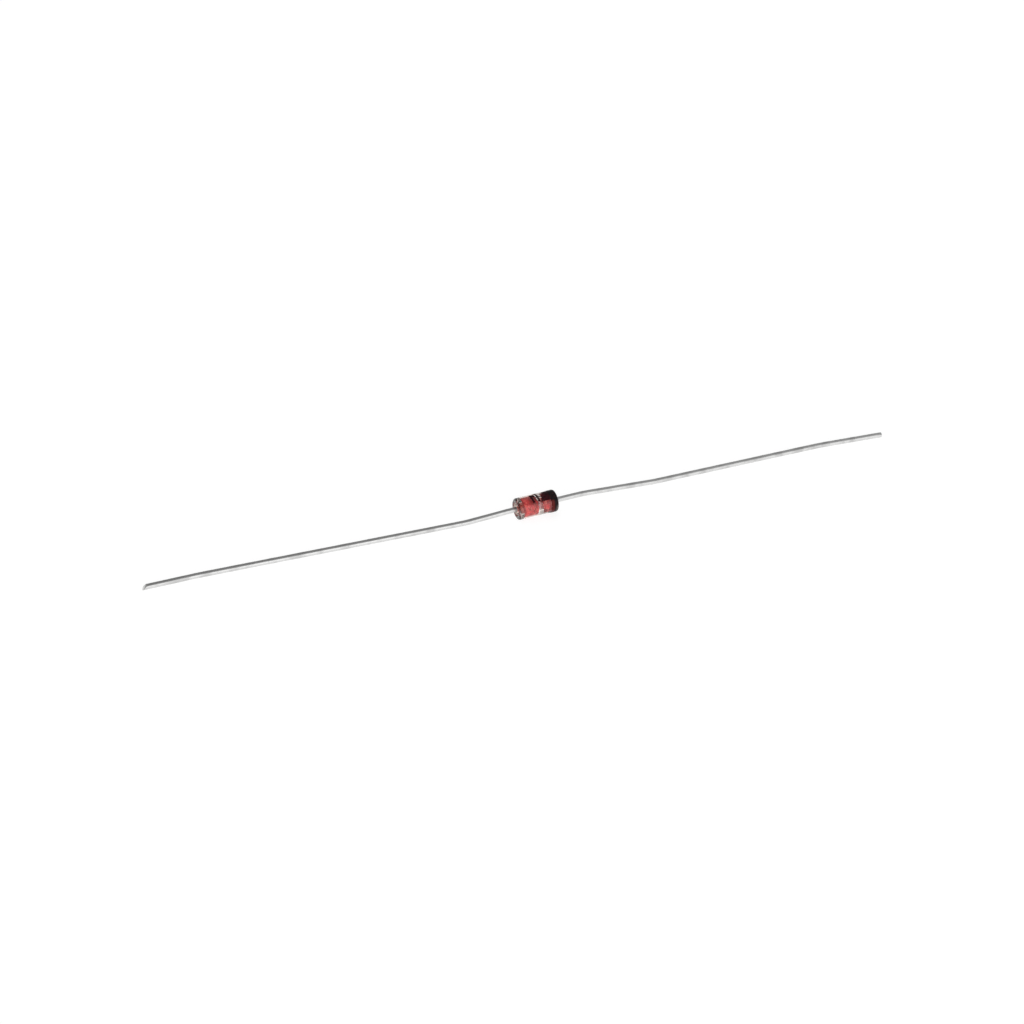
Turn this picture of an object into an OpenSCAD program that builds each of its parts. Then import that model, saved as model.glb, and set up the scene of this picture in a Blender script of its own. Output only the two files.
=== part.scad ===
// Axial zener diode in a sealed glass sleeve, lying on a table on its band and on its two lead tips.
// X runs along the body from the anode (-X) to the banded cathode (+X), Y to the back, Z up from the table.
// The origin is midway between the two tips, so the footprint is centred whichever way the leads are bent.

/* [Glass sleeve] */
// Outside diameter of the glass
glass_d = 1.85; // [1.6:0.01:2.2]
// Length of the glass, over its round rims
glass_len = 3.55; // [3.2:0.05:4.2]

/* [Slugs] */
// Diameter of both slugs, which the glass is sealed to
slug_d = 1.02; // [0.9:0.01:1.3]
// Length of each slug
slug_len = 1.33; // [1.1:0.01:1.4]
// Chamfer on the edges of a slug
slug_chamfer = 0.04; // [0.01:0.005:0.08]
// How far slugs and chip sit from the middle of the glass, towards the cathode end
stack_shift = 0.24; // [0:0.01:0.3]

/* [Chip] */
// Side of the square silicon die
die_side = 0.5; // [0.45:0.01:0.7]
// Thickness of the die
die_t = 0.26; // [0.15:0.01:0.3]
// Diameter of the silver contact button
button_d = 0.36; // [0.25:0.01:0.44]
// Height of the contact button
button_h = 0.14; // [0.05:0.01:0.2]

/* [Leads] */
// Diameter of the tinned wire
lead_d = 0.46; // [0.4:0.01:0.56]
// Length of each lead along the wire, from the end of the glass to its tip
lead_len = 31; // [26:0.5:38]
// Diameter of the weld bead between a slug and its lead
bead_d = 0.58; // [0.52:0.01:0.8]
// Height of the bead's middle above the slug
bead_offset = 0.04; // [0.02:0.01:0.12]
// How far the wire swells where it was bent
bend_swell = 0.004; // [0.002:0.001:0.02]

/* [Anode lead] */
// Straight stretch between the glass and the first bend
anode_exit = 0.6; // [0.4:0.05:2]
// Length of the stretch after the first bend
anode_dip_len = 3.8; // [2:0.1:8]
// How steeply that stretch dips towards the table, in degrees
anode_dip = 3; // [0.5:0.1:6]
// Its turn to the back, in degrees
anode_dip_turn = 1.2; // [0:0.1:8]
// Turn of the long stretch to the back, in degrees
anode_long_turn = 5.2; // [0:0.1:8]
// Length of the stretch at the tip
anode_tip_len = 4.5; // [3:0.1:8]
// Turn of the tip to the back, in degrees
anode_tip_turn = 2.8; // [0:0.1:8]
// Angle of the nipped end to the wire, in degrees
anode_cut = 48; // [30:1:90]

/* [Cathode lead] */
// Straight stretch between the glass and the first bend
cathode_exit = 2.5; // [0.6:0.05:4]
// Length of the stretch after the first bend
cathode_dip_len = 6.5; // [2:0.1:8]
// How steeply that stretch dips towards the table, in degrees
cathode_dip = 2.6; // [0.5:0.1:6]
// Its turn to the front, in degrees
cathode_dip_turn = 2.7; // [0:0.1:8]
// Turn of the long stretch to the front, in degrees
cathode_long_turn = 0.4; // [0:0.1:8]
// Length of the stretch at the tip
cathode_tip_len = 6; // [3:0.1:8]
// Turn of the tip to the front, in degrees
cathode_tip_turn = 4.2; // [0:0.1:8]
// Angle of the cut end to the wire, in degrees
cathode_cut = 90; // [30:1:90]

/* [Cathode band] */
// Width of the band along the glass, with the part that runs round the shoulder
band_w = 0.6; // [0.3:0.01:0.9]
// Bare rim between the band and the end of the glass
band_margin = 0.08; // [0.05:0.01:0.2]
// Thickness of the ink
band_t = 0.015; // [0.015:0.005:0.04]

/* [Hidden] */
$fn = 96;

glass_r = glass_d / 2;
slug_r = slug_d / 2;
lead_r = lead_d / 2;
bead_r = bead_d / 2;
wall = glass_r - slug_r;
// The band is the lowest part of the body, so it sets the height of the axis
axis_z = glass_r + band_t;
// Places along X: the two ends of each slug, and the chip between them
gap = die_t + button_h;
stack_len = 2 * slug_len + gap;
anode_face = stack_shift - stack_len / 2;
anode_seat = anode_face + slug_len;
cathode_seat = anode_seat + gap;
cathode_face = cathode_seat + slug_len;
glass_end = glass_len / 2;
// Wire between a slug and the end of the glass
anode_inset = glass_end + anode_face;
cathode_inset = glass_end - cathode_face;

// Stretches of each lead after its first bend, and their turns away from the axis
anode_long = lead_len - anode_exit - anode_dip_len - anode_tip_len;
anode_lengths = [anode_dip_len, anode_long, anode_tip_len];
anode_turns = [anode_dip_turn, anode_long_turn, anode_tip_turn];
cathode_long = lead_len - cathode_exit - cathode_dip_len - cathode_tip_len;
cathode_lengths = [cathode_dip_len, cathode_long, cathode_tip_len];
cathode_turns = [cathode_dip_turn, cathode_long_turn, cathode_tip_turn];
// The anode's tip reaches to the back and the cathode's to the front, and the body lies midway
body_y = (tip_reach(cathode_lengths, cathode_turns) - tip_reach(anode_lengths, anode_turns)) / 2;

// How far the stretches of a lead carry its tip to one side of the axis
function tip_reach(lengths, turns) =
    lengths[0] * sin(turns[0]) + lengths[1] * sin(turns[1]) + lengths[2] * sin(turns[2]);

// Slope that brings a lead down on to the table, over the stretches after its dip
function long_dip(exit, dip_len, dip) =
    asin((axis_z - lead_r - dip_len * sin(dip)) / (lead_len - exit - dip_len));

// Bends that bring the stretches of a lead to their dips and turns. Seen from the body both leads
// turn to the right, which is to the back for the anode's and to the front for the cathode's.
function lead_bends(dip, slope, turns) = [
    [dip, -turns[0]],
    [slope - dip, turns[0] - turns[1]],
    [0, turns[1] - turns[2]]
];

// Carries a shape from the origin to a place on the body's axis
module on_axis(x) {
    translate([x, body_y, axis_z])
        children();
}

// Lays an upright round shape along +X
module along_x() {
    rotate([0, 90, 0])
        children();
}

// Section of a round-rimmed tube wall grown by some thickness, with the tube's axis upright
module rim_section(grow) {
    middle_r = (glass_r + slug_r) / 2;
    straight = glass_len - wall;
    translate([slug_r - grow, -straight / 2])
        square([wall + 2 * grow, straight]);
    for (side = [-1, 1])
        translate([middle_r, side * straight / 2])
            circle(d = wall + 2 * grow);
}

module glass_sleeve() {
    color("lightcyan", 0.4)
        on_axis(0)
            along_x()
                rotate_extrude()
                    rim_section(0);
}

// Ink that follows the outside of the glass, from the inner edge of the band to the bare rim
module cathode_band() {
    outer_edge = glass_end - band_margin;
    color([0.05, 0.05, 0.06])
        on_axis(0)
            along_x()
                rotate_extrude()
                    difference() {
                        intersection() {
                            rim_section(band_t);
                            translate([(glass_r + slug_r) / 2, outer_edge - band_w])
                                square([wall, band_w]);
                        }
                        rim_section(0);
                    }
}

// Stud with chamfered edges, from the origin along +X
module slug() {
    along_x()
        rotate_extrude()
            polygon([
                [0, 0],
                [slug_r - slug_chamfer, 0],
                [slug_r, slug_chamfer],
                [slug_r, slug_len - slug_chamfer],
                [slug_r - slug_chamfer, slug_len],
                [0, slug_len]
            ]);
}

module anode_slug() {
    color([0.72, 0.27, 0.24])
        on_axis(anode_face)
            slug();
}

module cathode_slug() {
    color([0.72, 0.27, 0.24])
        on_axis(cathode_seat)
            slug();
}

module contact_button() {
    color("silver")
        on_axis(anode_seat)
            along_x()
                cylinder(d = button_d, h = button_h);
}

module silicon_die() {
    color([0.36, 0.36, 0.4])
        on_axis(cathode_seat - die_t / 2)
            cube([die_t, die_side, die_side], center = true);
}

// Bead of weld metal on a slug's face at the origin, round a wire along +X
module weld_bead() {
    difference() {
        translate([bead_offset, 0, 0])
            along_x()
                sphere(r = bead_r);
        translate([-bead_d, -bead_d, -bead_d])
            cube([bead_d, 2 * bead_d, 2 * bead_d]);
    }
}

// Last stretch of a wire along +X, cut through at an angle that leaves its underside longest
module tip_run(length, cut) {
    difference() {
        along_x()
            cylinder(d = lead_d, h = length + lead_d);
        translate([length, 0, -lead_r])
            rotate([0, cut - 90, 0])
                translate([0, -lead_d, -lead_d])
                    cube([3 * lead_d, 2 * lead_d, 3 * lead_d]);
    }
}

// Wire along +X, bent where one stretch meets the next. A bend turns the rest of the wire
// by [dip, turn]: down towards the table, and round to the left.
module bent_wire(runs, bends, cut, i = 0) {
    if (i == len(bends))
        tip_run(runs[i], cut);
    else {
        along_x()
            cylinder(d = lead_d, h = runs[i]);
        translate([runs[i], 0, 0]) {
            along_x()
                sphere(r = lead_r + bend_swell);
            rotate([0, bends[i][0], bends[i][1]])
                bent_wire(runs, bends, cut, i + 1);
        }
    }
}

module anode_lead() {
    slope = long_dip(anode_exit, anode_dip_len, anode_dip);
    color("gainsboro")
        on_axis(anode_face)
            rotate([0, 0, 180]) {
                weld_bead();
                bent_wire(
                    concat(anode_inset + anode_exit, anode_lengths),
                    lead_bends(anode_dip, slope, anode_turns),
                    anode_cut
                );
            }
}

module cathode_lead() {
    slope = long_dip(cathode_exit, cathode_dip_len, cathode_dip);
    color("gainsboro")
        on_axis(cathode_face) {
            weld_bead();
            bent_wire(
                concat(cathode_inset + cathode_exit, cathode_lengths),
                lead_bends(cathode_dip, slope, cathode_turns),
                cathode_cut
            );
        }
}

glass_sleeve();
anode_slug();
cathode_slug();
silicon_die();
contact_button();
anode_lead();
cathode_lead();
cathode_band();
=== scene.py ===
# %% [markdown]
# A zener diode is a chip of silicon that lets current through backwards at one set
# voltage. In this common glass kind the chip is squeezed between two red metal slugs,
# a clear glass sleeve is melted on to the slugs to seal it in, and a tinned wire is
# welded to the outer end of each slug. The packed solids give the sizes and places.
# This lesson loads them first, and then dresses each one with a finer piece.

# %% Load the packed diode
import math

import bmesh
import bpy
from mathutils import Matrix, Vector, noise


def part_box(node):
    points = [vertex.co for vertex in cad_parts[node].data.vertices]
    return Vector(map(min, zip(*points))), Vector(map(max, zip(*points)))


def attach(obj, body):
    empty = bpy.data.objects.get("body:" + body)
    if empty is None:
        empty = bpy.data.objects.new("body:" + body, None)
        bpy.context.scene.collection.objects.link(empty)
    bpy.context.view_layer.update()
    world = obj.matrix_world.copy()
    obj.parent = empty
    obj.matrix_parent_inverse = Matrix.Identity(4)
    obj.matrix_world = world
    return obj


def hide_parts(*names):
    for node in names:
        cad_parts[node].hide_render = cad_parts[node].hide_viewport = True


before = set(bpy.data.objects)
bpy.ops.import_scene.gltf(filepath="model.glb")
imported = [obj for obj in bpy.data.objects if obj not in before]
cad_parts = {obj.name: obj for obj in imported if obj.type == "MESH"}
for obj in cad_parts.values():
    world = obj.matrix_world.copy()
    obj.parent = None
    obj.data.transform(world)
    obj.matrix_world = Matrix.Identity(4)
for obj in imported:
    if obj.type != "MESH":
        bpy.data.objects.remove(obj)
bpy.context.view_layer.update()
MM = 0.001

# %% [markdown]
# The camera comes before the pieces, so that each new piece can be looked at as soon as
# it is made. It stands to the left of the diode, well above the table, and it is only
# 150 mm away, so the near lead looks a little thicker than the far one. A lens is
# usually given in millimetres on a 36 mm sensor. Here it is worked out from the focal
# length in pixels, which is what a measured picture gives.

# %% Camera
PICTURE_PX = 1024
FOCAL_PX = 1819.0
SENSOR_MM = 36
NEAREST = 0.01
LOOK_AT = Vector((-2.20, -0.93, 0.94)) * MM
CAMERA_DISTANCE = 150.23 * MM
CAMERA_TURN = math.radians(-22.17)
CAMERA_RISE = math.radians(36.05)


def direction(turn, rise):
    """Unit vector towards a place seen at this turn from the front and this rise."""
    return Vector((
        math.sin(turn) * math.cos(rise),
        -math.cos(turn) * math.cos(rise),
        math.sin(rise),
    ))


def looking_back(name, data, middle, distance, towards):
    """Camera or lamp at a distance from a middle, which it looks back at."""
    thing = bpy.data.objects.new(name, data)
    bpy.context.scene.collection.objects.link(thing)
    thing.location = middle + distance * towards
    thing.rotation_euler = (-towards).to_track_quat("-Z", "Y").to_euler()
    return thing


lens = bpy.data.cameras.new("camera")
lens.sensor_width = SENSOR_MM
lens.lens = SENSOR_MM * FOCAL_PX / PICTURE_PX
lens.clip_start = NEAREST
to_camera = direction(CAMERA_TURN, CAMERA_RISE)
bpy.context.scene.camera = looking_back("camera", lens, LOOK_AT, CAMERA_DISTANCE, to_camera)
print("lens in mm:", round(lens.lens, 2))

# %% [markdown]
# All the sizes of the body are read from the packed solids, in millimetres, so a piece
# can't drift from the solid that it stands for. The pieces are also modelled in
# millimetres and scaled down at the very end, because some mesh operators treat
# distances near a millionth of a metre as nothing.

# %% Sizes of the body


def box_mm(node):
    """Lowest and highest corner of a solid in millimetres."""
    low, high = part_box(node)
    return low / MM, high / MM


glass_low, glass_high = box_mm("glass_sleeve")
anode_low, anode_high = box_mm("anode_slug")
cathode_low, cathode_high = box_mm("cathode_slug")
AXIS_Y = (glass_low.y + glass_high.y) / 2
AXIS_Z = (glass_low.z + glass_high.z) / 2
AXIS = Vector((0, AXIS_Y, AXIS_Z))
GLASS_R = (glass_high.z - glass_low.z) / 2
GLASS_END = glass_high.x
BORE_R = (anode_high.z - anode_low.z) / 2
RIM_R = (GLASS_R - BORE_R) / 2
STRAIGHT_END = GLASS_END - RIM_R
STACK_MIDDLE = (anode_low.x + cathode_high.x) / 2
GAP_HALF = (cathode_low.x - anode_high.x) / 2
print("glass in mm:", round(2 * GLASS_R, 3), "x", round(2 * GLASS_END, 3))
print("bore in mm:", round(2 * BORE_R, 3), "and gap:", round(2 * GAP_HALF, 3))

# %% [markdown]
# Most of the body is turned: it looks the same all round the axis. Such a piece starts
# as the outline of half its section, and the spin operator carries that outline once
# round the axis. Rounded corners are made while the section is still flat, by bevelling
# its corner points, which is easier than bevelling the finished solid.

# %% Helpers for turned pieces
TURN_STEPS = 128
SHARP = math.radians(40)
TOUCHING = 1e-6
SLIVER = 1e-7


def flat_section(x0, x1, r0, r1, rounded, radius, segments):
    """Edges of a rectangle from x0 to x1 and r0 to r1, with the corners in rounded bevelled."""
    bm = bmesh.new()
    ends = ((x0, r0), (x1, r0), (x1, r1), (x0, r1))
    corners = [bm.verts.new((x, AXIS_Y, AXIS_Z + r)) for x, r in ends]
    bm.faces.new(corners)
    bmesh.ops.bevel(
        bm, geom=[corners[i] for i in rounded], offset=radius, offset_type="OFFSET",
        segments=segments, profile=0.5, affect="VERTICES", material=-1, clamp_overlap=True,
    )
    bmesh.ops.delete(bm, geom=bm.faces[:], context="FACES_ONLY")
    bmesh.ops.remove_doubles(bm, verts=bm.verts[:], dist=TOUCHING)
    return bm


def turn_round(bm, steps=TURN_STEPS, angle=math.tau, shift=0.0):
    """Spins all the edges of a section round the body's axis, and closes seam and poles."""
    bmesh.ops.spin(
        bm, geom=bm.verts[:] + bm.edges[:], cent=AXIS, axis=(1, 0, 0),
        dvec=(shift / steps, 0, 0), angle=angle, steps=steps, use_merge=angle == math.tau,
    )
    bmesh.ops.remove_doubles(bm, verts=bm.verts[:], dist=TOUCHING)
    bmesh.ops.dissolve_degenerate(bm, edges=bm.edges[:], dist=SLIVER)
    bmesh.ops.recalc_face_normals(bm, faces=bm.faces[:])


def finish_piece(bm, name, finish, slot, *nodes):
    """Makes an object of a mesh in millimetres, which rides on the diode and stands for nodes."""
    for face in bm.faces:
        face.smooth = True
    for edge in bm.edges:
        edge.smooth = edge.calc_face_angle(0) < SHARP
    bm.transform(Matrix.Scale(MM, 4))
    mesh = bpy.data.meshes.new(name)
    bm.to_mesh(mesh)
    bm.free()
    mesh.materials.append(finish)
    piece = bpy.data.objects.new(name, mesh)
    bpy.context.scene.collection.objects.link(piece)
    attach(piece, "root")
    if nodes:
        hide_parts(*nodes)
    print(name, "has", len(mesh.polygons), "faces")


# %% [markdown]
# Two effects come back in several finishes: patches, as in oxide, ink and dull tin, and
# fine lengthwise lines, as on any wire or rod that was drawn through a die. Each is a
# node group, so a finish only has to say how large and how strong its own is. The
# coordinates are the object's own in metres, so a scale of 2000 gives patches of about
# half a millimetre.

# %% Node groups for patches and drawn lines
NOISE_INPUTS = ("Scale", "Detail", "From", "To")


def new_group(name, inputs):
    """Empty shader group with number inputs beside its Vector, and a Mask as output."""
    group = bpy.data.node_groups.new(name, "ShaderNodeTree")
    group.interface.new_socket("Vector", in_out="INPUT", socket_type="NodeSocketVector")
    for label in inputs:
        group.interface.new_socket(label, in_out="INPUT", socket_type="NodeSocketFloat")
    group.interface.new_socket("Mask", in_out="OUTPUT", socket_type="NodeSocketFloat")
    return group, group.nodes.new("NodeGroupInput"), group.nodes.new("NodeGroupOutput")


def noise_mask(group, vector, given, result):
    """Noise on a vector, stretched so that From becomes 0 and To becomes 1, as the Mask."""
    links = group.links.new
    grain = group.nodes.new("ShaderNodeTexNoise")
    links(vector, grain.inputs["Vector"])
    links(given.outputs["Scale"], grain.inputs["Scale"])
    links(given.outputs["Detail"], grain.inputs["Detail"])
    spread = group.nodes.new("ShaderNodeMapRange")
    spread.interpolation_type = "SMOOTHSTEP"
    links(grain.outputs["Fac"], spread.inputs["Value"])
    links(given.outputs["From"], spread.inputs["From Min"])
    links(given.outputs["To"], spread.inputs["From Max"])
    links(spread.outputs["Result"], result.inputs["Mask"])


patches, given, result = new_group("patches", NOISE_INPUTS)
noise_mask(patches, given.outputs["Vector"], given, result)

drawn_lines, given, result = new_group("drawn lines", (*NOISE_INPUTS, "Stretch"))
across = drawn_lines.nodes.new("ShaderNodeCombineXYZ")
drawn_lines.links.new(given.outputs["Stretch"], across.inputs["X"])
across.inputs["Y"].default_value = across.inputs["Z"].default_value = 1
squeeze = drawn_lines.nodes.new("ShaderNodeVectorMath")
squeeze.operation = "MULTIPLY"
drawn_lines.links.new(given.outputs["Vector"], squeeze.inputs[0])
drawn_lines.links.new(across.outputs["Vector"], squeeze.inputs[1])
noise_mask(drawn_lines, squeeze.outputs["Vector"], given, result)
print("node groups:", [g.name for g in bpy.data.node_groups])

# %% [markdown]
# A finish is a material with one Principled shader, whose plain numbers are set on its
# own sockets. Short helpers keep the node code readable. One places a group, one makes a
# mask by the place along an axis and one by how far a surface is turned from the eye.
# Both are told where the mask is nothing and where it is full. The others mix two
# colours by a mask, turn a mask into a range of values, and make a bump.

# %% Helpers for finishes


class Finish:
    """A new material with its Principled shader, and ways to vary it over the surface."""

    def __init__(self, name, **plain):
        self.material = bpy.data.materials.new(name)
        self.material.use_nodes = True
        self.nodes = self.material.node_tree.nodes
        self.link = self.material.node_tree.links.new
        self.shader = self.nodes["Principled BSDF"]
        self.place = self.nodes.new("ShaderNodeTexCoord").outputs["Object"]
        for label, value in plain.items():
            self.shader.inputs[label.replace("_", " ")].default_value = value

    def mask(self, group, **values):
        """Output of a node group at these values."""
        node = self.nodes.new("ShaderNodeGroup")
        node.node_tree = group
        self.link(self.place, node.inputs["Vector"])
        for label, value in values.items():
            node.inputs[label].default_value = value
        return node.outputs["Mask"]

    def ramp(self, value, none_at, full_at):
        """Mask that goes smoothly from 0 to 1 while a socket goes from none_at to full_at."""
        node = self.nodes.new("ShaderNodeMapRange")
        node.interpolation_type = "SMOOTHSTEP"
        self.link(value, node.inputs["Value"])
        node.inputs["From Min"].default_value = none_at
        node.inputs["From Max"].default_value = full_at
        return node.outputs["Result"]

    def along(self, axis, middle, none_at, full_at):
        """Mask by the distance from a middle on an axis, to either side, in millimetres."""
        parts = self.nodes.new("ShaderNodeSeparateXYZ")
        self.link(self.place, parts.inputs["Vector"])
        gone = self.nodes.new("ShaderNodeMath")
        gone.operation = "SUBTRACT"
        self.link(parts.outputs[axis], gone.inputs[0])
        gone.inputs[1].default_value = middle * MM
        apart = self.nodes.new("ShaderNodeMath")
        apart.operation = "ABSOLUTE"
        self.link(gone.outputs[0], apart.inputs[0])
        return self.ramp(apart.outputs[0], none_at * MM, full_at * MM)

    def edge_on(self, none_at, full_at):
        """Mask by the turn from the eye, which is 0 for a surface that faces it and 1 edge-on."""
        angle = self.nodes.new("ShaderNodeLayerWeight")
        return self.ramp(angle.outputs["Facing"], none_at, full_at)

    def mix(self, mask, low, high):
        """Colour that goes from low to high with a mask. Either may be a socket."""
        node = self.nodes.new("ShaderNodeMix")
        node.data_type = "RGBA"
        self.link(mask, node.inputs[0])
        for socket, colour in ((node.inputs[6], low), (node.inputs[7], high)):
            if isinstance(colour, bpy.types.NodeSocket):
                self.link(colour, socket)
            else:
                socket.default_value = (*colour, 1)
        return node.outputs[2]

    def between(self, mask, low, high):
        """Value that goes from low to high with a mask."""
        node = self.nodes.new("ShaderNodeMapRange")
        self.link(mask, node.inputs["Value"])
        node.inputs["To Min"].default_value = low
        node.inputs["To Max"].default_value = high
        return node.outputs["Result"]

    def bump(self, mask, depth, strength=1.0):
        """Bumps of this depth in metres, on the shader's normal."""
        node = self.nodes.new("ShaderNodeBump")
        node.inputs["Distance"].default_value = depth
        node.inputs["Strength"].default_value = strength
        self.link(mask, node.inputs["Height"])
        self.link(node.outputs["Normal"], self.shader.inputs["Normal"])

    def drive(self, label, socket):
        """Feeds a socket into one of the shader's inputs."""
        self.link(socket, self.shader.inputs[label])


print("finishes can vary by", [n for n in vars(Finish) if not n.startswith("_")])

# %% [markdown]
# The sleeve is soft lead glass, clear with a trace of green, melted until its cut ends
# flowed round. Seen edge-on there is more glass to look through, so its colour deepens:
# warm along the sides. Beside the gap between the slugs, where it is seen edge-on, a dark
# grey is painted in as shade, for the shadowed table that the glass mirrors there. Copper
# from the slugs stains the ends a pale red-brown, and the rounded rims are a dull grey.
# Where the ends are seen edge-on they are painted nearly black, as painted reflection of
# the dim room and the shadow that they mirror. A tint that grows with the angle is what a
# mask from Layer Weight gives. A fine ripple from the melt bends what is seen through it.
# Light that only passes to the slugs behind would be lost in a render, so for shadow rays
# the shader is swapped for a plain transparent one.

# %% Finish: clear glass
CLEAR = (0.97, 0.985, 0.975)
EDGE_TINT = (0.62, 0.42, 0.36)
EDGE_VIEW = (0.45, 0.60)
GAP_TINT = (0.88, 0.76, 0.70)
GAP_BLUR = 0.06
# painted shade beside the gap, where the glass is seen edge-on
GAP_SHADE = (0.24, 0.205, 0.185)
SHADE_VIEW = (0.215, 0.30)
SHADE_MIDDLE = 0.33
SHADE_REACH = (0.45, 0.22)
STAIN = (0.94, 0.76, 0.69)
STAIN_REACH = (1.24, 1.42)
# painted dark reflection at the ends, where the glass is seen edge-on
END_PAINTED_DARK = (0.028, 0.018, 0.014)
END_VIEW = (0.12, 0.26)
END_REACH = (1.31, 1.40)
RIM_GREY = (0.185, 0.150, 0.130)
RIM_REACH = (1.52, 1.66)

glass = Finish("clear_glass", Roughness=0.02, IOR=1.54, Transmission_Weight=1.0)
over_gap = glass.along("X", STACK_MIDDLE, GAP_HALF + GAP_BLUR, GAP_HALF - GAP_BLUR)
beside_gap = glass.along("X", SHADE_MIDDLE, *SHADE_REACH)
near_ends = glass.along("X", 0, *STAIN_REACH)
at_ends = glass.along("X", 0, *END_REACH)
on_rims = glass.along("X", 0, *RIM_REACH)
tint = glass.mix(glass.edge_on(*EDGE_VIEW), CLEAR, EDGE_TINT)
tint = glass.mix(over_gap, tint, GAP_TINT)
# painted shade: dark grey beside the gap where the glass is seen edge-on
tint = glass.mix(glass.edge_on(*SHADE_VIEW), tint, glass.mix(beside_gap, tint, GAP_SHADE))
tint = glass.mix(near_ends, tint, STAIN)
# painted dark reflection: near-black where the ends are seen edge-on
tint = glass.mix(glass.edge_on(*END_VIEW), tint, glass.mix(at_ends, tint, END_PAINTED_DARK))
glass.drive("Base Color", glass.mix(on_rims, tint, RIM_GREY))
glass.bump(glass.mask(patches, Scale=900, Detail=1, From=0.2, To=0.8), depth=1.5e-6)

clear = glass.nodes.new("ShaderNodeBsdfTransparent")
rays = glass.nodes.new("ShaderNodeLightPath")
swap = glass.nodes.new("ShaderNodeMixShader")
glass.link(rays.outputs["Is Shadow Ray"], swap.inputs["Fac"])
glass.link(glass.shader.outputs["BSDF"], swap.inputs[1])
glass.link(clear.outputs["BSDF"], swap.inputs[2])
glass.link(swap.outputs["Shader"], glass.nodes["Material Output"].inputs["Surface"])
print("glass:", glass.material.name)

# %% [markdown]
# The slugs are rods with a copper skin. Sealing them into hot glass leaves a film of red
# copper oxide, thick and dark in some places, thin and pink in others. Two sizes of
# patches over each other give that cloudy look, and faint lengthwise lines show that
# the rod was drawn. Near the outer ends the oxide is painted darker, as shade, while the
# end faces themselves are painted lighter, as light. On top of the anode slug, below the
# print, a dark patch is painted shadow of the print. It is a powder, so it gets a little
# warm sheen.

# %% Finish: red slugs
DARK_OXIDE = (0.42, 0.007, 0.008)
PINK_OXIDE = (0.87, 0.040, 0.042)
SPECKS = (0.92, 0.22, 0.16)
# painted shadow of the print on top of the anode slug
PRINT_SHADOW_DARK = (0.20, 0.003, 0.003)
PRINT_SHADOW_PALE = (0.46, 0.012, 0.010)
PRINT_SHADOW_MIDDLE = -0.38
PRINT_SHADOW_REACH = (0.55, 0.15)
PRINT_SHADOW_TOP = (AXIS_Z + 0.30, AXIS_Z + 0.42)
# painted shade: the oxide darker towards the outer ends
PAINTED_END_SHADE = (0.36, 0.008, 0.006)
END_SHADE_REACH = (1.33, 1.50)
# painted light: the end faces lighter than the shaded ends beside them
FACE_PAINTED_LIGHT = (0.62, 0.06, 0.045)
FACE_REACH = (1.515, 1.525)

slug_red = Finish(
    "red_slug", Metallic=0.2, Specular_IOR_Level=0.9,
    Sheen_Weight=0.3, Sheen_Roughness=0.35, Sheen_Tint=(1.0, 0.84, 0.74, 1),
)
clouds = slug_red.mask(patches, Scale=2600, Detail=3, From=0.36, To=0.66)
specks = slug_red.mask(patches, Scale=9000, Detail=4, From=0.5, To=0.72)
outer_ends = slug_red.along("X", STACK_MIDDLE, *END_SHADE_REACH)
end_faces = slug_red.along("X", STACK_MIDDLE, *FACE_REACH)
on_top = slug_red.along("Z", 0, *PRINT_SHADOW_TOP)
by_print = slug_red.along("X", PRINT_SHADOW_MIDDLE, *PRINT_SHADOW_REACH)
oxide = slug_red.mix(clouds, DARK_OXIDE, PINK_OXIDE)
oxide = slug_red.mix(specks, oxide, SPECKS)
# painted shade at the outer ends of the slugs
oxide = slug_red.mix(outer_ends, oxide, PAINTED_END_SHADE)
# painted shadow of the print: darker red on top of the slug below the print
print_shadow = slug_red.mix(on_top, oxide, slug_red.mix(clouds, PRINT_SHADOW_DARK, PRINT_SHADOW_PALE))
oxide = slug_red.mix(by_print, oxide, print_shadow)
# painted light on the end faces of the slugs
slug_red.drive("Base Color", slug_red.mix(end_faces, oxide, FACE_PAINTED_LIGHT))
slug_red.drive("Roughness", slug_red.between(clouds, 0.62, 0.48))
rod_lines = slug_red.mask(drawn_lines, Scale=14000, Detail=2, From=0.3, To=0.7, Stretch=0.06)
slug_red.bump(rod_lines, depth=2e-6, strength=0.6)
print("slugs:", slug_red.material.name)

# %% [markdown]
# The wire is steel with a copper skin, hot dipped in tin. Fresh tin is bright, but it
# dulls in patches, and the drawing die leaves fine lines along it. Metal shows what is
# round it, so the lines and the patches only change how sharply it does so. Inside the
# glass the weld has burnt the tin off, and there the copper is red with oxide.

# %% Finish: tinned wire
BRIGHT_TIN = (0.72, 0.72, 0.715)
DULL_TIN = (0.58, 0.58, 0.575)
BARE_COPPER = (0.55, 0.09, 0.06)
BARE_REACH = (1.76, 1.64)

tin = Finish("tinned_wire")
dull = tin.mask(patches, Scale=1100, Detail=4, From=0.42, To=0.68)
wire_lines = tin.mask(drawn_lines, Scale=16000, Detail=3, From=0.3, To=0.7, Stretch=0.02)
in_glass = tin.along("X", 0, *BARE_REACH)
tin.drive("Base Color", tin.mix(in_glass, tin.mix(dull, BRIGHT_TIN, DULL_TIN), BARE_COPPER))
tin.drive("Metallic", tin.between(in_glass, 1.0, 0.3))
tin.drive("Roughness", tin.between(dull, 0.26, 0.40))
tin.bump(wire_lines, depth=2.5e-6, strength=0.7)
print("wire:", tin.material.name)

# %% [markdown]
# The band and the print are baked ink. It is nearly black, and thin enough that the red
# behind it warms it in places. The band was rolled on from the end of the glass, so its
# film thins out towards its inner edge, below the print. Low on the shoulder a grey is
# painted in, as a reflection of the table. Stray pale specks are dust and pinholes.

# %% Finishes: black ink
PINHOLES = (0.09, 0.06, 0.055)
EDGE_RED = (0.16, 0.022, 0.018)
EDGE_REACH = (1.47, 1.24)
PRINT_FOOT = AXIS_Z + 0.62
FOOT_BLUR = 0.08
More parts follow.
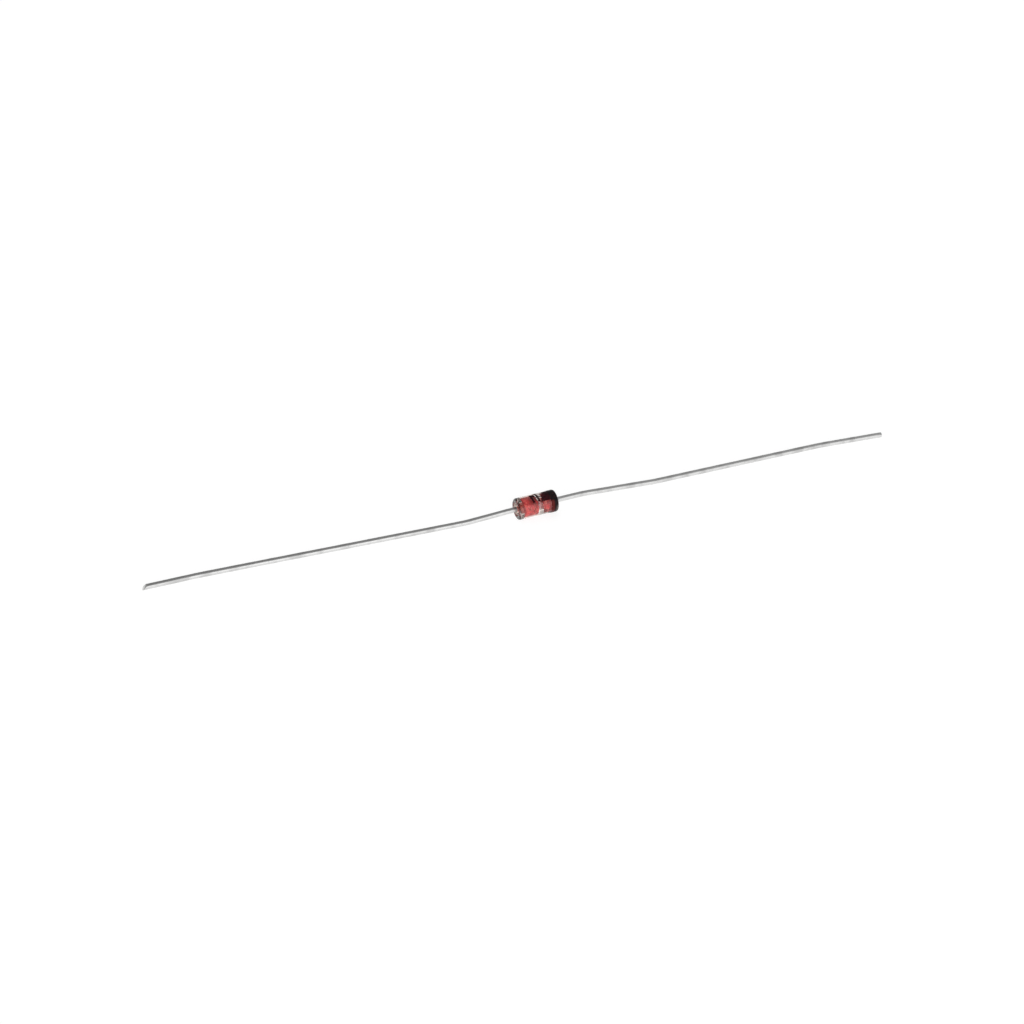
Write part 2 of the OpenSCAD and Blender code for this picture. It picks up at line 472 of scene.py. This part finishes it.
# painted reflection of the table, low on the band's shoulder
SHOULDER_PAINTED_REFLECTION = (0.20, 0.18, 0.155)
SHOULDER_REACH = (1.44, 1.58)
LOW_REACH = (AXIS_Z + 0.30, AXIS_Z - 0.10)


def baked_ink(name, thick, thin):
    """Ink that goes from its thick to its thin colour in patches, and that colour as a socket."""
    ink = Finish(name, Specular_IOR_Level=0.1)
    uneven = ink.mask(patches, Scale=3500, Detail=3, From=0.4, To=0.7)
    pinholes = ink.mask(patches, Scale=22000, Detail=2, From=0.66, To=0.74)
    film = ink.mix(pinholes, ink.mix(uneven, thick, thin), PINHOLES)
    ink.drive("Base Color", film)
    ink.drive("Roughness", ink.between(uneven, 0.28, 0.42))
    ink.bump(uneven, depth=2e-6, strength=0.5)
    return ink, film


print_ink, _ = baked_ink("print_ink", thick=(0.022, 0.005, 0.007), thin=(0.062, 0.010, 0.014))
band_ink, film = baked_ink("black_ink", thick=(0.009, 0.007, 0.008), thin=(0.030, 0.013, 0.013))
inner_edge = band_ink.along("X", 0, *EDGE_REACH)
below_print = band_ink.along("Z", 0, PRINT_FOOT + FOOT_BLUR, PRINT_FOOT - FOOT_BLUR)
at_shoulder = band_ink.along("X", 0, *SHOULDER_REACH)
low_side = band_ink.along("Z", 0, *LOW_REACH)
film = band_ink.mix(inner_edge, film, band_ink.mix(below_print, film, EDGE_RED))
# painted reflection: grey low on the shoulder of the band
film = band_ink.mix(at_shoulder, film, band_ink.mix(low_side, film, SHOULDER_PAINTED_REFLECTION))
band_ink.drive("Base Color", film)
print("ink:", print_ink.material.name, band_ink.material.name)

# %% [markdown]
# The chip is only seen as a sliver between the slugs: a sawn square of silicon, with a
# button of plated silver on its face. Its grey is painted pink, as a reflection of the
# red slugs round it.

# %% Finishes: silicon and silver
# painted reflection of the red slugs in the silicon
SAWN_REFLECTION_DARK = (0.52, 0.27, 0.31)
SAWN_REFLECTION_PALE = (0.69, 0.355, 0.41)
SILVER_PALE = (0.88, 0.86, 0.82)
SILVER_DARK = (0.76, 0.74, 0.71)

silicon = Finish("silicon", Metallic=0.8)
saw_marks = silicon.mask(drawn_lines, Scale=20000, Detail=2, From=0.3, To=0.7, Stretch=8.0)
# painted reflection: pink in place of the silicon's grey
silicon.drive("Base Color", silicon.mix(saw_marks, SAWN_REFLECTION_DARK, SAWN_REFLECTION_PALE))
silicon.drive("Roughness", silicon.between(saw_marks, 0.22, 0.38))
silicon.bump(saw_marks, depth=2e-6, strength=0.5)

silver = Finish("silver", Metallic=1.0)
grains = silver.mask(patches, Scale=24000, Detail=3, From=0.3, To=0.7)
silver.drive("Base Color", silver.mix(grains, SILVER_PALE, SILVER_DARK))
silver.drive("Roughness", silver.between(grains, 0.25, 0.45))
silver.bump(grains, depth=3e-6, strength=0.8)
print("chip:", silicon.material.name, silver.material.name)

# %% [markdown]
# The sleeve is a short tube whose wall ends in a full round at both ends. Its section is
# a rectangle as long as the glass and as thick as the wall. Bevelling all four corners
# by half the wall turns each short side into that round.

# %% Glass sleeve
RIM_SEGMENTS = 14
sleeve = flat_section(-GLASS_END, GLASS_END, BORE_R, GLASS_R, range(4), RIM_R, RIM_SEGMENTS)
turn_round(sleeve)
finish_piece(sleeve, "clear_sleeve", glass.material, "clear_glass", "glass_sleeve")

# %% [markdown]
# Each slug is a plain stud with its edges broken. The glass has flowed on to it, with no
# air between, so the stud here is a few thousandths of a millimetre larger than the
# bore. Without that a thin film of air would turn the seal into a mirror. The section of
# a solid stud reaches down to the axis, and the edge that lies on the axis is deleted,
# because the spin would make a needle of it.

# %% Slugs
SEAL = 0.004
SLUG_EDGE = 0.04
SLUG_SEGMENTS = 3
OUTER_CORNERS = (2, 3)


def turned_stud(node, grow, edge, segments, steps=TURN_STEPS):
    """Solid round piece in the place of a node, grown in radius, with rounded outer edges."""
    low, high = box_mm(node)
    radius = (high.z - low.z) / 2 + grow
    bm = flat_section(low.x, high.x, 0, radius, OUTER_CORNERS, edge, segments)
    on_axis = [e for e in bm.edges if all(v.co.z - AXIS_Z < TOUCHING for v in e.verts)]
    bmesh.ops.delete(bm, geom=on_axis, context="EDGES")
    turn_round(bm, steps)
    return bm


for node in ("anode_slug", "cathode_slug"):
    stud = turned_stud(node, SEAL, SLUG_EDGE, SLUG_SEGMENTS)
    finish_piece(stud, "red_" + node, slug_red.material, "red_slug", node)

# %% [markdown]
# The chip was sawn from a wafer, so it is a square block with crisp edges, and the button
# on it was plated up until it bulged. A cube with bevelled edges and a small turned disc
# with a well rounded edge do for pieces that are seen through glass.

# %% Chip and contact button
DIE_EDGE = 0.015
DIE_SEGMENTS = 2
BUTTON_EDGE = 0.06
BUTTON_SEGMENTS = 6
BUTTON_STEPS = 48

low, high = box_mm("silicon_die")
die = bmesh.new()
bmesh.ops.create_cube(die, size=1)
bmesh.ops.scale(die, vec=high - low, verts=die.verts[:])
bmesh.ops.translate(die, vec=(low + high) / 2, verts=die.verts[:])
bmesh.ops.bevel(
    die, geom=die.edges[:], offset=DIE_EDGE, offset_type="OFFSET", segments=DIE_SEGMENTS,
    profile=0.5, affect="EDGES", material=-1,
)
finish_piece(die, "sawn_die", silicon.material, "silicon", "silicon_die")

button = turned_stud("contact_button", 0, BUTTON_EDGE, BUTTON_SEGMENTS, BUTTON_STEPS)
finish_piece(button, "silver_button", silver.material, "silver", "contact_button")

# %% [markdown]
# A lead is a straight wire that has been bent by hand in three places, so it is made the
# same way. One ring of points is extruded along each straight run, and at each bend the
# spin operator swings it round a centre beside the wire. The runs and bends repeat those
# of the solid, with each bend given as a dip towards the table and a turn to the left.

# %% Helpers: a bent wire
WIRE_R = 0.23
WIRE_SIDES = 32
BEND_R = 12.0
BEND_STEPS = 6


def points_of(ring):
    """The points of a ring of edges, each once."""
    return list({v for e in ring for v in e.verts})


def push_ring(bm, ring, way):
    """Extrudes the end ring of a wire along a vector and gives the new ring."""
    made = bmesh.ops.extrude_edge_only(bm, edges=ring)["geom"]
    points = [g for g in made if isinstance(g, bmesh.types.BMVert)]
    bmesh.ops.translate(bm, vec=way, verts=points)
    edges = [g for g in made if isinstance(g, bmesh.types.BMEdge)]
    return [e for e in edges if all(v in points for v in e.verts)]


def swing_ring(bm, ring, middle, old, new):
    """Bends the wire from the way old to the way new, round a centre to one side."""
    axis = old.cross(new).normalized()
    made = bmesh.ops.spin(
        bm, geom=points_of(ring) + ring, cent=middle + BEND_R * axis.cross(old), axis=axis,
        dvec=(0, 0, 0), angle=old.angle(new), steps=BEND_STEPS,
    )["geom_last"]
    return [g for g in made if isinstance(g, bmesh.types.BMEdge)]


print("wire", 2 * WIRE_R, "mm, bent to a radius of", BEND_R, "mm")

# %% [markdown]
# The butt weld leaves a bead of squeezed-out metal where the wire meets the slug. It is
# the same ring again: pushed along a little and widened or narrowed at each step, until
# it has the size of the wire.

# %% Helper: the weld bead
BEAD_R = 0.29
BEAD_OFFSET = 0.04
BEAD_RINGS = 9
BEAD_END = math.radians(30)
FILLET_AT = 0.23
FILLET_GROW = 0.007
WIRE_FROM = 0.28

bead_start = -math.asin(BEAD_OFFSET / BEAD_R)
bead_turns = [bead_start + (BEAD_END - bead_start) * i / BEAD_RINGS for i in range(BEAD_RINGS + 1)]
BEAD_STEPS = [(BEAD_OFFSET + BEAD_R * math.sin(v), BEAD_R * math.cos(v)) for v in bead_turns]
BEAD_STEPS += [(FILLET_AT, WIRE_R + FILLET_GROW), (WIRE_FROM, WIRE_R)]


def weld_bead(bm, place):
    """Rings of the bead, from a capped disc on the slug to the first ring of the wire."""
    start, radius = BEAD_STEPS[0]
    bmesh.ops.create_circle(bm, cap_ends=True, segments=WIRE_SIDES, radius=radius)
    upright = Matrix.Rotation(math.pi / 2, 3, "Y")
    bmesh.ops.rotate(bm, cent=(0, 0, 0), matrix=upright, verts=bm.verts[:])
    bmesh.ops.translate(bm, vec=(start, 0, 0), verts=bm.verts[:])
    ring = bm.edges[:]
    for (x0, r0), (x1, r1) in zip(BEAD_STEPS, BEAD_STEPS[1:]):
        ring = push_ring(bm, ring, (x1 - x0, 0, 0))
        bmesh.ops.scale(bm, vec=(1, r1 / r0, r1 / r0), verts=points_of(ring))
    bm.transform(place)
    return ring


print("bead", 2 * BEAD_R, "mm wide")

# %% [markdown]
# The tip is cut with side cutters. On the anode lead they left a slanting face with the
# underside longest, and on the cathode lead a square one. The wire is made a little too
# long, cut with a plane, capped, and its sharp edge is broken.

# %% Helper: the cut tip
TIP_EDGE = 0.02
TIP_SEGMENTS = 2
CUT_TOLERANCE = 1e-5


def cut_tip(bm, place, length, cut_deg):
    """Cuts the last run of a wire off at its length, at an angle to the wire, and caps it."""
    slant = math.radians(90 - cut_deg)
    bmesh.ops.bisect_plane(
        bm, geom=bm.verts[:] + bm.edges[:] + bm.faces[:], dist=CUT_TOLERANCE,
        plane_co=place @ Vector((length, 0, -WIRE_R)),
        plane_no=place.to_3x3() @ Vector((math.cos(slant), 0, math.sin(slant))),
        clear_outer=True,
    )
    rim = [e for e in bm.edges if e.is_boundary]
    cap = bmesh.ops.edgeloop_fill(bm, edges=rim)["faces"]
    bmesh.ops.recalc_face_normals(bm, faces=bm.faces[:])
    bmesh.ops.bevel(
        bm, geom=[e for f in cap for e in f.edges], offset=TIP_EDGE, offset_type="OFFSET",
        segments=TIP_SEGMENTS, profile=0.5, affect="EDGES", material=-1,
    )


print("tips have an edge of", TIP_EDGE, "mm")

# %% [markdown]
# Now the helpers make the two leads. Each is as long as the other, and the slope of its
# long run follows from the height of the body, so that its tip comes down exactly on to
# the table. The turns differ, because the wires were bent by hand.

# %% Leads
LEAD_LEN = 31.0
STEP_LEN = 1.0


def lead_runs(inset, exit_len, dip_len, tip_len, dip):
    """Lengths of a lead's four runs, and the dips that bring the last two down to the table."""
    rest = LEAD_LEN - exit_len - dip_len
    drop = AXIS_Z - WIRE_R - dip_len * math.sin(math.radians(dip))
    slope = math.degrees(math.asin(drop / rest))
    return (inset + exit_len, dip_len, rest - tip_len, tip_len), (dip, slope, slope)


def bent_lead(name, node, face_x, heading, runs, dips, turns, cut_deg):
    """One lead from its bead at face_x to its tip, with a dip and a turn for each later run."""
    bends = [(d1 - d0, t0 - t1) for d0, d1, t0, t1 in zip((0, *dips), dips, (0, *turns), turns)]
    place = Matrix.Translation((face_x, AXIS_Y, AXIS_Z)) @ Matrix.Rotation(heading, 4, "Z")
    bm = bmesh.new()
    ring = weld_bead(bm, place)
    done = BEAD_STEPS[-1][0]
    for run, bend in zip(runs, [*bends, None]):
        way = place.to_3x3() @ Vector((1, 0, 0))
        if bend is None:
            turn, length = None, run + 2 * WIRE_R
        else:
            dip, left = (math.radians(v) for v in bend)
            turn = Matrix.Rotation(left, 4, "Z") @ Matrix.Rotation(dip, 4, "Y")
            after = (place @ turn).to_3x3() @ Vector((1, 0, 0))
            tangent = BEND_R * math.tan(way.angle(after) / 2)
            length = run - tangent
        steps = max(1, round((length - done) / STEP_LEN))
        for _ in range(steps):
            ring = push_ring(bm, ring, way * (length - done) / steps)
        if turn is None:
            break
        ring = swing_ring(bm, ring, place @ Vector((length, 0, 0)), way, after)
        place = place @ Matrix.Translation((run, 0, 0)) @ turn
        done = tangent
    cut_tip(bm, place, runs[-1], cut_deg)
    finish_piece(bm, name, tin.material, "tinned_wire", node)


runs, dips = lead_runs(
    inset=GLASS_END + anode_low.x, exit_len=0.6, dip_len=3.8, tip_len=4.5, dip=3.0,
)
bent_lead(
    "tinned_anode_lead", "anode_lead", anode_low.x, math.pi, runs, dips,
    turns=(1.2, 5.2, 2.8), cut_deg=48,
)
runs, dips = lead_runs(
    inset=GLASS_END - cathode_high.x, exit_len=2.5, dip_len=6.5, tip_len=6.0, dip=2.6,
)
bent_lead(
    "tinned_cathode_lead", "cathode_lead", cathode_high.x, 0, runs, dips,
    turns=(2.7, 0.4, 4.2), cut_deg=90,
)

# %% [markdown]
# The cathode end is marked by a ring of ink that runs over the shoulder of the glass. Its
# line starts as one point: pushed along the straight of the glass and then swung round
# the middle of the rim. After the full spin the film gets its thickness. A printed edge
# is never quite straight, so the inner edge wanders by a hundredth of a millimetre.

# %% Cathode band
band_low, band_high = box_mm("cathode_band")
BAND_T = (band_high.z - band_low.z) / 2 - GLASS_R
BAND_WANDER = 0.012
WANDER_SCALE = 3
EDGE_TOLERANCE = 1e-4
STRAIGHT_STEPS = 6
SHOULDER_STEPS = 8


def add_thickness(bm, thickness):
    """Turns a sheet on the glass to face outwards, and thickens it outwards."""
    for face in bm.faces:
        out = face.calc_center_median() - AXIS
        if face.normal.dot(out - Vector((out.x, 0, 0))) < 0:
            face.normal_flip()
    bmesh.ops.solidify(bm, geom=bm.faces[:], thickness=-thickness)
    bmesh.ops.recalc_face_normals(bm, faces=bm.faces[:])


def printed_line(x0, x1, steps):
    """A line of edges along the glass, on top of it, and its last point."""
    bm = bmesh.new()
    bmesh.ops.create_vert(bm, co=(x0, AXIS_Y, AXIS_Z + GLASS_R))
    last = bm.verts[:]
    for _ in range(steps):
        last = bmesh.ops.extrude_vert_indiv(bm, verts=last)["verts"]
        bmesh.ops.translate(bm, vec=((x1 - x0) / steps, 0, 0), verts=last)
    return bm, last


band, last = printed_line(band_low.x, STRAIGHT_END, STRAIGHT_STEPS)
over_shoulder = math.asin((band_high.x - STRAIGHT_END) / RIM_R)
bmesh.ops.spin(
    band, geom=last, cent=(STRAIGHT_END, AXIS_Y, AXIS_Z + GLASS_R - RIM_R), axis=(0, 1, 0),
    dvec=(0, 0, 0), angle=over_shoulder, steps=SHOULDER_STEPS,
)
turn_round(band)
for vert in band.verts:
    if vert.co.x < band_low.x + EDGE_TOLERANCE:
        vert.co.x += BAND_WANDER * noise.noise(vert.co * WANDER_SCALE)
add_thickness(band, BAND_T)
finish_piece(band, "ink_band", band_ink.material, "black_ink", "cathode_band")

# %% [markdown]
# Beside the band a few plain marks are printed on the glass: two bars, a dash, and a
# block that runs under the band. A mark is a short line along the glass, spun part of
# the way round it. The spin operator can shift the line a little at each step, and that
# makes the marks slant.

# %% Print on the glass
PRINT_T = 0.012
MARK_STEPS = 4
MARK_TURN_STEPS = 24
BLOCK_END = STRAIGHT_END - 0.01


def ink_mark(name, x0, x1, start_deg, end_deg, slant):
    """A patch of ink from x0 to x1 between two angles from the top towards the front."""
    bm, _ = printed_line(x0, x1, MARK_STEPS)
    to_start = Matrix.Rotation(math.radians(start_deg), 3, "X")
    bmesh.ops.rotate(bm, cent=AXIS, matrix=to_start, verts=bm.verts[:])
    turn_round(bm, MARK_TURN_STEPS, math.radians(end_deg - start_deg), slant)
    add_thickness(bm, PRINT_T)
    finish_piece(bm, name, print_ink.material, "black_ink")


ink_mark("ink_bar_left", x0=-0.59, x1=-0.41, start_deg=-15, end_deg=40, slant=0.15)
ink_mark("ink_dash", x0=-0.385, x1=-0.15, start_deg=-13, end_deg=9, slant=0.05)
ink_mark("ink_bar_right", x0=-0.125, x1=0.04, start_deg=-26, end_deg=40, slant=0.18)
ink_mark("ink_block", x0=0.62, x1=BLOCK_END, start_deg=-20, end_deg=43, slant=-0.36)

# %% [markdown]
# The diode lies on a plain pale table. To the camera the table is white, as paper under
# studio light is, and most of that white is the table's own light, so the shadow of the
# thin wires stays faint. Metal and glass see the same white table.

# %% Table
TABLE_SIZE = 2.0
TABLE_GREY = 0.30
TABLE_GLOW = 0.86
top = bmesh.new()
bmesh.ops.create_grid(top, x_segments=1, y_segments=1, size=TABLE_SIZE / 2)
table_mesh = bpy.data.meshes.new("table")
top.to_mesh(table_mesh)
top.free()
table = bpy.data.objects.new("table", table_mesh)
bpy.context.scene.collection.objects.link(table)

paper = Finish(
    "pale_table", Roughness=0.9, Specular_IOR_Level=0.0,
    Base_Color=(TABLE_GREY, TABLE_GREY, TABLE_GREY, 1), Emission_Color=(1, 1, 1, 1),
)
seen_by = paper.nodes.new("ShaderNodeLightPath")
seen = seen_by.outputs["Is Camera Ray"]
for label in ("Is Glossy Ray", "Is Transmission Ray"):
    either = paper.nodes.new("ShaderNodeMath")
    either.operation = "MAXIMUM"
    paper.link(seen, either.inputs[0])
    paper.link(seen_by.outputs[label], either.inputs[1])
    seen = either.outputs[0]
paper.drive("Emission Strength", paper.between(seen, 0.0, TABLE_GLOW))
paper.material.cycles.emission_sampling = "NONE"
table_mesh.materials.append(paper.material)
print("table glows by", TABLE_GLOW)

# %% [markdown]
# A broad soft lamp stands low in front, to the left. Bare wire would mirror the whole of
# it as one glaring line, so two thirds of that light come from a second lamp, which
# nothing mirrors. It is turned a few degrees away from the first, because two lamps in
# one place get in each other's way and some of their light is lost. A third one, above
# and behind, lights the tops of the slugs through the glass, and isn't mirrored either.

# %% Lamps
LAMP_DISTANCE = 1.0


def area_lamp(name, turn_deg, rise_deg, width, height, watts, mirrored):
    """Soft lamp that looks at the diode, which metal and glass mirror only if mirrored is true."""
    light = bpy.data.lights.new(name, "AREA")
    light.shape = "RECTANGLE"
    light.size = width
    light.size_y = height
    light.energy = watts
    towards = direction(math.radians(turn_deg), math.radians(rise_deg))
    lamp = looking_back(name, light, Vector((0, 0, 0)), LAMP_DISTANCE, towards)
    lamp.visible_glossy = mirrored
    print(name, "of", watts, "W")


area_lamp(
    "front_lamp", turn_deg=-30, rise_deg=17, width=2.0, height=0.85, watts=1.9, mirrored=True,
)
area_lamp(
    "front_fill", turn_deg=-26, rise_deg=20, width=2.0, height=0.85, watts=4.2, mirrored=False,
)
area_lamp(
    "back_fill", turn_deg=170, rise_deg=60, width=1.0, height=1.0, watts=3.0, mirrored=False,
)

# %% [markdown]
# What metal mirrors is mostly the room. It is bright in front and dim overhead and
# behind, which gives each wire the dark line along its upper edge that makes it read as
# metal. For mirroring surfaces it is a little lighter, more so to the right. To the
# camera it is white, and so is its low backdrop in metal and glass, and all of it where
# one looks straight through the glass. None of that white falls on dull surfaces.

# %% Room
FRONT_RISE = math.radians(5)
FRONT_EDGES = (0.5, 0.9)
ROOM_LEVELS = (0.12, 0.9)
RIGHT_EDGES = (0.15, 0.50)
MIRROR_LIFT = (0.125, 0.28)
BACKDROP_EDGES = (0.12, 0.02)

room = bpy.data.worlds.new("room")
bpy.context.scene.world = room
room.use_nodes = True
sky = room.node_tree.nodes
connect = room.node_tree.links.new


def room_math(operation, *sources, clamp=False):
    """Result of a sum on sockets of the room's nodes."""
    node = sky.new("ShaderNodeMath")
    node.operation = operation
    node.use_clamp = clamp
    for i, source in enumerate(sources):
        connect(source, node.inputs[i])
    return node.outputs[0]


def room_range(source, edges, levels=(0, 1), kind="LINEAR"):
    """Value that goes from one level to the other between the two edges of a socket's value."""
    node = sky.new("ShaderNodeMapRange")
    node.interpolation_type = kind
    connect(source, node.inputs["Value"])
    for label, value in zip(("From Min", "From Max", "To Min", "To Max"), (*edges, *levels)):
        node.inputs[label].default_value = value
    return node.outputs["Result"]


toward = sky.new("ShaderNodeTexCoord").outputs["Generated"]
ray = sky.new("ShaderNodeLightPath").outputs
sides = sky.new("ShaderNodeSeparateXYZ")
connect(toward, sides.inputs["Vector"])
front = sky.new("ShaderNodeVectorMath")
front.operation = "DOT_PRODUCT"
front.inputs[1].default_value = direction(0, FRONT_RISE)
connect(toward, front.inputs[0])

shade = room_range(front.outputs["Value"], FRONT_EDGES, ROOM_LEVELS, "SMOOTHSTEP")
lift = room_range(sides.outputs["X"], RIGHT_EDGES, MIRROR_LIFT)
mirrored = room_math("SUBTRACT", ray["Is Glossy Ray"], ray["Is Transmission Ray"], clamp=True)
level = room_math("MULTIPLY_ADD", mirrored, lift, shade)
backdrop = room_range(sides.outputs["Z"], BACKDROP_EDGES)
low_white = room_math("MULTIPLY", backdrop, ray["Is Glossy Ray"])
bounced = room_math("ADD", ray["Glossy Depth"], ray["Diffuse Depth"])
straight = room_math("SUBTRACT", ray["Is Transmission Ray"], bounced, clamp=True)
for white in (ray["Is Camera Ray"], low_white, straight):
    level = room_math("MAXIMUM", level, white)
connect(level, sky["Background"].inputs["Strength"])
sky["Background"].inputs["Color"].default_value = (1, 1, 1, 1)
bpy.context.scene.view_settings.view_transform = "Standard"
print("room:", len(sky), "nodes")

# %% [markdown]
